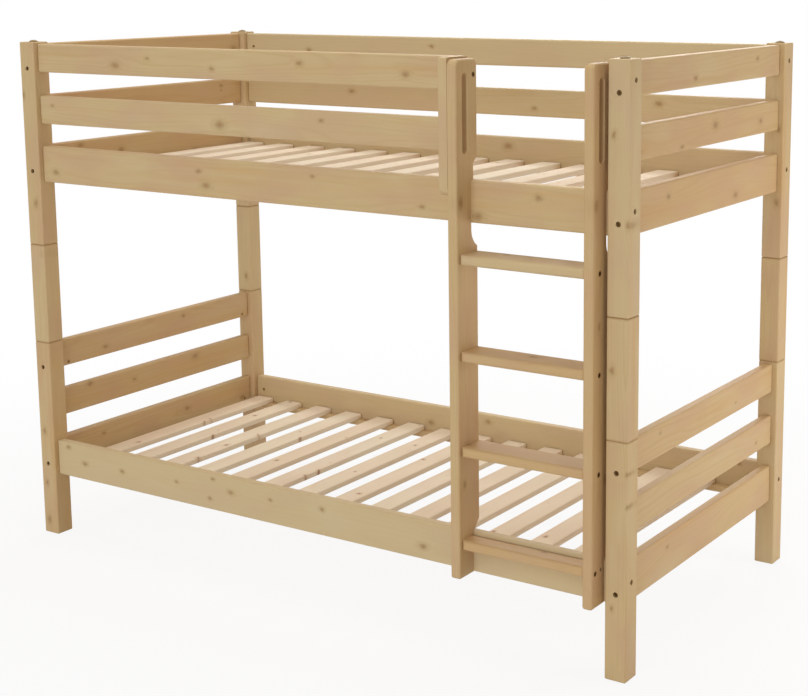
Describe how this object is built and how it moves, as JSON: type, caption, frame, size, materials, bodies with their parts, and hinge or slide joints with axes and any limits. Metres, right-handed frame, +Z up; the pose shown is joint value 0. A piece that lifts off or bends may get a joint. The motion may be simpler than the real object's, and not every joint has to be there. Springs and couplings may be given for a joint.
{
  "type": "bunk bed",
  "caption": "Pine bunk bed with stacked square posts, slatted upper and lower bases, guard rails and a fixed front ladder.",
  "frame": {"origin": "on the floor, at the middle of the bounding box of the bed with its ladder", "axes": "+X along the bed to its right end, +Y from the ladder side to the back, +Z up"},
  "size_m": [2.08, 1.05, 1.551],
  "materials": {
    "pine": "knotty pine, sanded and clear oiled",
    "pine_slats": "planed softwood, unfinished",
    "beech": "ribbed beech dowel",
    "bronzed_steel": "dark bronzed steel",
    "zinc_plate": "zinc plated",
    "cap_plastic": "moulded, satin"
  },
  "bodies": {
    "root": {"guard_rail_back_middle": "pine", "guard_rail_back_top": "pine", "guard_rail_front_middle": "pine", "guard_rail_front_top": "pine", "guard_rail_strut": "pine", "ladder_bolts": "bronzed_steel", "ladder_nuts": "zinc_plate", "ladder_rung_1": "pine", "ladder_rung_2": "pine", "ladder_rung_3": "pine", "ladder_rung_4": "pine", "ladder_screws": "bronzed_steel", "ladder_spacer": "cap_plastic", "ladder_stringer_left": "pine", "ladder_stringer_right": "pine", "ledger_screws": "bronzed_steel", "lower_barrel_nuts": "zinc_plate", "lower_frame_bolts": "bronzed_steel", "lower_left_end_rail_bottom": "pine", "lower_left_end_rail_middle": "pine", "lower_left_end_rail_top": "pine", "lower_post_back_left": "pine", "lower_post_back_right": "pine", "lower_post_front_left": "pine", "lower_post_front_right": "pine", "lower_rail_dowels": "beech", "lower_right_end_rail_bottom": "pine", "lower_right_end_rail_middle": "pine", "lower_right_end_rail_top": "pine", "lower_side_rail_back": "pine", "lower_side_rail_front": "pine", "lower_slat_ledger_back": "pine", "lower_slat_ledger_front": "pine", "lower_slats": "pine_slats", "middle_post_back_left": "pine", "middle_post_back_right": "pine", "middle_post_front_left": "pine", "middle_post_front_right": "pine", "post_caps": "cap_plastic", "post_pins": "beech", "rung_dowels": "beech", "upper_barrel_nuts": "zinc_plate", "upper_frame_bolts": "bronzed_steel", "upper_left_end_rail_bottom": "pine", "upper_left_end_rail_middle": "pine", "upper_left_end_rail_top": "pine", "upper_post_back_left": "pine", "upper_post_back_right": "pine", "upper_post_front_left": "pine", "upper_post_front_right": "pine", "upper_rail_dowels": "beech", "upper_right_end_rail_bottom": "pine", "upper_right_end_rail_middle": "pine", "upper_right_end_rail_top": "pine", "upper_side_rail_back": "pine", "upper_side_rail_front": "pine", "upper_slat_ledger_back": "pine", "upper_slat_ledger_front": "pine", "upper_slats": "pine_slats"}
  },
  "joints": []
}
